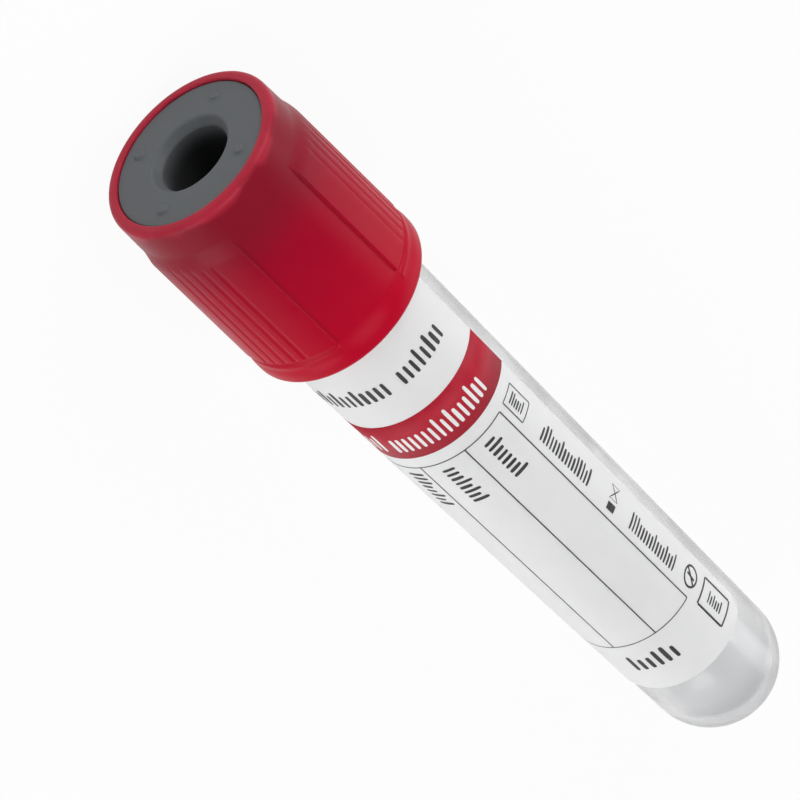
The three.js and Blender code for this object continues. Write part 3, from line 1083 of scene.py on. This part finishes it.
def column_step(across):
    """The step to the next column, by how far this one is from the middle of a pad."""
    from_side = abs(across - PAD_HALF_WIDTH)
    if across < GROOVE_PITCH * GROOVE_COUNT / 2:
        return IN_GROOVES
    if from_side < PAD_SIDE:
        return AT_SIDE
    return NEAR_SIDE if from_side <= NEAR else ELSEWHERE


def cap_columns():
    """Angles round the cap, close together across the grooves and at the sides of a pad."""
    half = 180 / PAD_COUNT
    columns, angle = [], -half
    while angle < half - LAST_GAP:
        columns.append(angle)
        angle += column_step(abs(angle))
    turns = [PAD_PHASE + 360 / PAD_COUNT * pad for pad in range(PAD_COUNT)]
    return [math.radians(turn + column) for turn in turns for column in columns]


cap_shell = lathe("cap", cap_outline(), cap_columns())
print("turned shell:", len(cap_shell.vertices), "points")


# %% The height of a pad
def wrapped(tree, angle, half_span):
    """An angle brought to between minus and plus half a span."""
    return maths(tree, "WRAP", angle, half_span, maths(tree, "MULTIPLY", half_span, -1.0))


def pad_side(tree, off_middle, given):
    """1 over a pad and 0 beside it, with a soft step between."""
    edge = maths(tree, "ADD", given["Half width"], maths(tree, "MULTIPLY", given["Side"], 0.5))
    return ramp(tree, off_middle, edge, maths(tree, "SUBTRACT", edge, given["Side"]))


def groove_section(tree, in_pad, off_middle, station, given):
    """The share of a pad's height that the grooves leave."""
    half_pitch = maths(tree, "MULTIPLY", given["Pitch"], 0.5)
    off_groove = maths(tree, "ABSOLUTE", wrapped(tree, in_pad, half_pitch))
    floor_edge, top_edge = given["Groove floor half width"], given["Groove half width"]
    rib = ramp(tree, off_groove, floor_edge, top_edge, given["Groove floor"], 1.0)
    last = maths(tree, "MULTIPLY", half_pitch, given["Grooves"])
    grooved = maths(tree, "LESS_THAN", off_middle, last)
    full = maths(tree, "ADD", given["Groove start"], given["Groove rise"])
    deep = maths(tree, "MULTIPLY", grooved, ramp(tree, station, given["Groove start"], full))
    return add(tree, "ShaderNodeMix", {"Factor": deep, "A": 1.0, "B": rib}).outputs["Result"]


def relief_along(tree, section, station, given):
    """The pad's height with its rise out of the collar, its end, and the lip behind it."""
    rise_end = maths(tree, "ADD", given["Start"], given["Start bevel"])
    tail_start = maths(tree, "SUBTRACT", given["End"], given["End bevel"])
    height = maths(tree, "MULTIPLY", given["Height"], section)
    height = maths(tree, "MULTIPLY", height, ramp(tree, station, given["Start"], rise_end))
    height = maths(tree, "MULTIPLY", height, ramp(tree, station, given["End"], tail_start))
    lip_up = ramp(tree, station, given["Lip start"], given["Lip top"])
    lip_down = ramp(tree, station, given["Lip end"], given["Lip top"])
    lip = maths(tree, "MULTIPLY", lip_up, lip_down)
    return maths(tree, "MULTIPLY_ADD", lip, given["Lip height"], height)


# %% Raising the grip pads
OUTSIDE_MARGIN = 0.1  # how far under the collar's surface a point still counts as outside


def grip_relief_tree():
    inputs = [
        ("Shell", GEOMETRY, None),
        ("Pads", FLOAT, PAD_COUNT),
        ("First pad", FLOAT, PAD_PHASE),
        ("Half width", FLOAT, PAD_HALF_WIDTH),
        ("Side", FLOAT, PAD_SIDE),
        ("Height", FLOAT, PAD_HEIGHT),
        ("Start", FLOAT, PAD_START),
        ("Start bevel", FLOAT, PAD_RISE),
        ("End", FLOAT, PAD_END),
        ("End bevel", FLOAT, PAD_TAIL),
        ("Grooves", FLOAT, GROOVE_COUNT),
        ("Pitch", FLOAT, GROOVE_PITCH),
        ("Groove half width", FLOAT, GROOVE_HALF_WIDTH),
        ("Groove floor half width", FLOAT, GROOVE_FLOOR_HALF_WIDTH),
        ("Groove floor", FLOAT, GROOVE_FLOOR),
        ("Groove start", FLOAT, GROOVE_START),
        ("Groove rise", FLOAT, GROOVE_RISE),
        ("Lip height", FLOAT, LIP_HEIGHT),
        ("Lip start", FLOAT, LIP_START),
        ("Lip top", FLOAT, LIP_TOP),
        ("Lip end", FLOAT, LIP_END),
        ("Outside from", FLOAT, COLLAR_RADIUS - OUTSIDE_MARGIN),
        ("Material", MATERIAL, None),
    ]
    tree, given, out = geometry_tree("grip_relief", inputs)
    where = position(tree)
    spot = parts_of(tree, where)
    across = maths(tree, "DEGREES", maths(tree, "ARCTAN2", spot["Y"], spot["X"]))
    from_first = maths(tree, "SUBTRACT", across, given["First pad"])
    in_pad = wrapped(tree, from_first, maths(tree, "DIVIDE", 180.0, given["Pads"]))
    off_middle = maths(tree, "ABSOLUTE", in_pad)
    section = groove_section(tree, in_pad, off_middle, spot["Z"], given)
    height = relief_along(tree, section, spot["Z"], given)
    lift = maths(tree, "MULTIPLY", height, pad_side(tree, off_middle, given))
    outward = vector_maths(tree, "MULTIPLY", {0: where, 1: (1, 1, 0)})
    distance = vector_maths(tree, "LENGTH", {0: outward}, "Value")
    direction = vector_maths(tree, "NORMALIZE", {0: outward})
    raise_by = {
        "Geometry": given["Shell"],
        "Selection": maths(tree, "GREATER_THAN", distance, given["Outside from"]),
        "Offset": vector_maths(tree, "SCALE", {0: direction, "Scale": lift}),
    }
    raised = add(tree, "GeometryNodeSetPosition", raise_by).outputs[0]
    return finished(tree, raised, given["Material"], out)


cap_mesh = grown(cap_shell, grip_relief_tree(), Material=red_plastic())
place("grip_cap", cap_mesh, "closure", "red_cap", "cap")

# %% [markdown]
# ## Grey rubber
# The stopper is moulded butyl rubber: dark grey, matt, with the faint texture of its mould and a
# little bloom that makes some patches of its face paler. Below the face it is painted nearly black,
# which is painted shade: it darkens the deep well, and with it all of the stopper under the face.
# The lead-in at the edge of the well is painted a little darker than the face, as shade, between the
# two.

# %% Grey rubber
FACE_TONES = ((0.09, 0.098, 0.105), (0.102, 0.11, 0.117))
# Painted shade: the well's lead-in, a little darker than the face.
WELL_EDGE_SHADE_TONE = (0.082, 0.089, 0.096)
# Painted shade: nearly black in the well and in all of the stopper below the face.
WELL_SHADE_TONE = (0.018, 0.019, 0.02)
WELL_EDGE_SHADE_FADE = (0.25, 0.45)  # the stations between which one tone gives way to the next
WELL_SHADE_FADE = (0.8, 2.8)


def grey_rubber():
    material, tree, shader = new_material("grey_rubber")
    bloom = group(tree, handling, Patch_mm=2.5, Low=0.6, High=0.75)
    station = station_of_surface(tree)
    face = two_tones(tree, bloom["Mask"], *FACE_TONES)
    # Painted shade: darker on the well's lead-in, and nearly black below it.
    edge = two_tones(tree, ramp(tree, station, *WELL_EDGE_SHADE_FADE), face, WELL_EDGE_SHADE_TONE)
    skin = two_tones(tree, ramp(tree, station, *WELL_SHADE_FADE), edge, WELL_SHADE_TONE)
    surface(tree, shader, skin, bloom["Value"], grains_per_mm=5.0, detail=4.0, depth_mm=0.012)
    return material


# %% [markdown]
# ## The stopper
# A flange held under the cap's rim, a plug in the mouth of the tube, and a well in the middle of
# its face. A short cone leads a needle into the well, and a thinner wall of rubber at its foot is
# where the needle goes through. Four low nubs on the face keep wet stoppers from sticking to each
# other. The body is turned, and Geometry Nodes set the same nub on each point of a circle. A nub
# is flat on top, and its foot flares into the face, so no crease shows round it.

# %% Sizes of the stopper
MOUTH_CLEARANCE = 0.05
FACE_RADIUS = 6.54
FLANGE_TOP = 1.25
FLANGE_RADIUS = 6.85
FLANGE_END = 4.05
NECK_RADIUS = 6.48
SHOULDER = MOUTH_STATION - MOUTH_CLEARANCE
PLUG_CLEARANCE = 0.04
PLUG_END = 15.2
PLUG_EDGE = 0.5
WELL_RADIUS = 2.95
LEAD_IN_RADIUS = 3.5
LEAD_IN_DEPTH = 0.72
WELL_FLOOR = 8.2
WELL_BOTTOM_BEND = 1.2
FOOT_RADIUS = 3.6
FOOT_TOP = 12.2
FOOT_TOP_RADIUS = 2.6
NUB_COUNT = 4
NUB_PHASE = 58  # the first nub, in degrees
NUB_CIRCLE = 5.1
NUB_RADIUS = 0.48
NUB_HEIGHT = 0.2
NUB_FLAT = 0.58  # the share of a nub's radius that is flat on top
NUB_ROOT = 0.1  # how deep a nub is sunk in the face


def stopper_outline():
    plug = [tube_radius(s) - WALL - PLUG_CLEARANCE for s in (SHOULDER, PLUG_END)]
    return [Vector((0, WELL_FLOOR))] + rounded([
        (0, WELL_FLOOR),
        (WELL_RADIUS, WELL_FLOOR, WELL_BOTTOM_BEND),
        (WELL_RADIUS, FACE_STATION + LEAD_IN_DEPTH, 0.35),
        (LEAD_IN_RADIUS, FACE_STATION, 0.3),
        (FACE_RADIUS, FACE_STATION, 0.12),
        (FACE_RADIUS, FLANGE_TOP, 0.08),
        (FLANGE_RADIUS, FLANGE_TOP, 0.08),
        (FLANGE_RADIUS, FLANGE_END, 0.2),
        (NECK_RADIUS, FLANGE_END, 0.1),
        (NECK_RADIUS, SHOULDER, 0.15),
        (plug[0], SHOULDER, 0.1),
        (plug[1], PLUG_END, PLUG_EDGE),
        (FOOT_RADIUS, PLUG_END, 0.2),
        (FOOT_TOP_RADIUS, FOOT_TOP, 0.4),
        (0, FOOT_TOP),
    ])[1:]


stopper_body = lathe("stopper", stopper_outline())
print("stopper body:", len(stopper_body.vertices), "points")

# %% One nub
NUB_STEPS = 16
NUB_SIDES = 32


def nub_outline():
    """A low bell, from the middle of its top to its foot, and the root under it."""
    shares = [i / NUB_STEPS for i in range(NUB_STEPS + 1)]
    falls = [min(max((s - NUB_FLAT) / (1 - NUB_FLAT), 0), 1) for s in shares]
    heights = [NUB_HEIGHT * (0.5 + 0.5 * math.cos(math.pi * fall)) for fall in falls]
    bell = [Vector((NUB_RADIUS * s, -height)) for s, height in zip(shares, heights)]
    return bell + [Vector((NUB_RADIUS, NUB_ROOT)), Vector((0, NUB_ROOT))]


nub_turn = [math.tau * i / NUB_SIDES for i in range(NUB_SIDES)]
nub_object = new_object("nub_pattern", lathe("nub", nub_outline(), nub_turn))
print("nub:", len(nub_object.data.polygons), "faces")


# %% Setting the nubs
def nub_tree():
    inputs = [
        ("Body", GEOMETRY, None),
        ("Nub", "NodeSocketObject", None),
        ("Count", INTEGER, NUB_COUNT),
        ("First", FLOAT, math.radians(NUB_PHASE)),
        ("Circle", FLOAT, NUB_CIRCLE),
        ("Station", FLOAT, FACE_STATION),
        ("Material", MATERIAL, None),
    ]
    tree, given, out = geometry_tree("stopper_nubs", inputs)
    ring = {"Vertices": given["Count"], "Radius": given["Circle"]}
    placed = {
        "Geometry": add(tree, "GeometryNodeMeshCircle", ring).outputs[0],
        "Translation": add(tree, "ShaderNodeCombineXYZ", {"Z": given["Station"]}).outputs[0],
        "Rotation": add(tree, "ShaderNodeCombineXYZ", {"Z": given["First"]}).outputs[0],
    }
    on_points = {
        "Points": add(tree, "GeometryNodeTransform", placed).outputs[0],
        "Instance": add(tree, "GeometryNodeObjectInfo", {"Object": given["Nub"]}).outputs["Geometry"],
    }
    nubs = add(tree, "GeometryNodeInstanceOnPoints", on_points).outputs[0]
    joined = add(tree, "GeometryNodeJoinGeometry")
    link(tree, given["Body"], joined.inputs[0])
    link(tree, nubs, joined.inputs[0])
    return finished(tree, joined.outputs[0], given["Material"], out)


stopper_mesh = grown(stopper_body, nub_tree(), Nub=nub_object, Material=grey_rubber())
bpy.data.objects.remove(nub_object)
place("rubber_stopper", stopper_mesh, "closure", "grey_rubber", "stopper")

# %% [markdown]
# ## Floor and backdrop
# The tube lies on a wide pale floor. To the camera the floor is nearly all a white lit backdrop,
# and less so through the clear wall and in a reflection. What is left of it takes light as any
# floor does, so the tube's soft shadow stays. A Light Path node tells those rays apart.

# %% Floor
FLOOR_HALF = 1.5  # metres
FLOOR_DROP = 0.02 * MM
FLOOR_TONE = (0.85, 0.85, 0.85, 1)
WHITE = (1, 1, 1, 1)
# The share of the floor's look that is backdrop, for each way in which it is seen.
BACKDROP_SHARES = {"Is Camera Ray": 0.93, "Is Transmission Ray": 0.62, "Is Glossy Ray": 0.42}


def floor_material():
    material, tree, shader = new_material("pale_floor")
    shader["Base Color"].default_value = FLOOR_TONE
    shader["Roughness"].default_value = 0.9
    glow = add(tree, "ShaderNodeEmission", {"Color": WHITE, "Strength": 1.0}).outputs[0]
    path = add(tree, "ShaderNodeLightPath").outputs
    share = 0.0
    for ray, backdrop in BACKDROP_SHARES.items():
        share = maths(tree, "MAXIMUM", share, maths(tree, "MULTIPLY", path[ray], backdrop))
    principled = tree.nodes["Principled BSDF"].outputs[0]
    mix = add(tree, "ShaderNodeMixShader", {0: share, 1: principled, 2: glow}).outputs[0]
    link(tree, mix, tree.nodes["Material Output"].inputs["Surface"])
    return material


corners = [(-1, -1), (1, -1), (1, 1), (-1, 1)]
floor_level = cad_low.z - FLOOR_DROP
floor_points = [(FLOOR_HALF * x, FLOOR_HALF * y, floor_level) for x, y in corners]
floor_mesh = bpy.data.meshes.new("floor")
floor_mesh.from_pydata(floor_points, [], [(0, 1, 2, 3)])
floor_mesh.materials.append(floor_material())
floor = new_object("floor", floor_mesh)
print("floor, mm under the tube:", round((cad_low.z - floor_level) / MM, 3))

# %% [markdown]
# ## World
# The backdrop goes on above the floor: plain white where the camera or the clear wall looks at it,
# and a soft light from the horizon for everything else. Overhead it is dark, so that no white sheen
# lies over the red plastic and its colour stays deep.

# %% World
HORIZON_LIGHT = 0.7
CEILING_LIGHT = 0.2
CEILING_FROM, CEILING_FULL = 0.05, 0.6  # the heights in the sky, as sines, where it darkens


def studio_world():
    """White where it is seen, and dimmer as a light, with a dark ceiling."""
    world = bpy.data.worlds.new("studio")
    world.use_nodes = True
    tree = world.node_tree
    sky = tree.nodes["Background"].inputs
    sky["Color"].default_value = WHITE
    direction = add(tree, "ShaderNodeTexCoord").outputs["Generated"]
    height = parts_of(tree, direction)["Z"]
    lit = ramp(tree, height, CEILING_FROM, CEILING_FULL, HORIZON_LIGHT, CEILING_LIGHT)
    path = add(tree, "ShaderNodeLightPath").outputs
    white = maths(tree, "MAXIMUM", path["Is Camera Ray"], path["Is Transmission Ray"])
    link(tree, maths(tree, "MAXIMUM", white, lit), sky["Strength"])
    return world


bpy.context.scene.world = studio_world()
print("world:", bpy.context.scene.world.name)

# %% [markdown]
# ## Studio light
# Four large soft boxes: one at either side of the tube, the left one a little stronger, a faint one
# behind the left shoulder of the round end, and one overhead. They are wide for their distance, so
# broad soft bands and no hard glint model the cap's curve. Their level is plain: a surface renders
# about as bright as its colour.

# %% Soft boxes
LAMP_AIM = 35  # station


def soft_box(name, place_mm, size_mm, power):
    """A flat lamp that faces the tube's middle, with its power in watts."""
    lamp = bpy.data.lights.new(name, "AREA")
    lamp.shape = "RECTANGLE"
    lamp.size, lamp.size_y = (side * MM for side in size_mm)
    lamp.energy = power
    box = bpy.data.objects.new(name, lamp)
    bpy.context.scene.collection.objects.link(box)
    box.location = Vector(place_mm) * MM
    aim = at(LAMP_AIM) - box.location
    box.rotation_euler = aim.to_track_quat("-Z", "Y").to_euler()
    return box


boxes = [
    soft_box("left_box", (-300, 400, 190), (500, 300), 1.35),
    soft_box("left_rear_box", (330, 430, 150), (500, 260), 0.4),
    soft_box("right_box", (0, -450, 250), (500, 300), 1.15),
    soft_box("top_box", (-30, 0, 540), (400, 300), 1.15),
]
bpy.context.scene.view_settings.view_transform = "Standard"
print("soft boxes:", {box.name: round(box.data.energy, 2) for box in boxes})
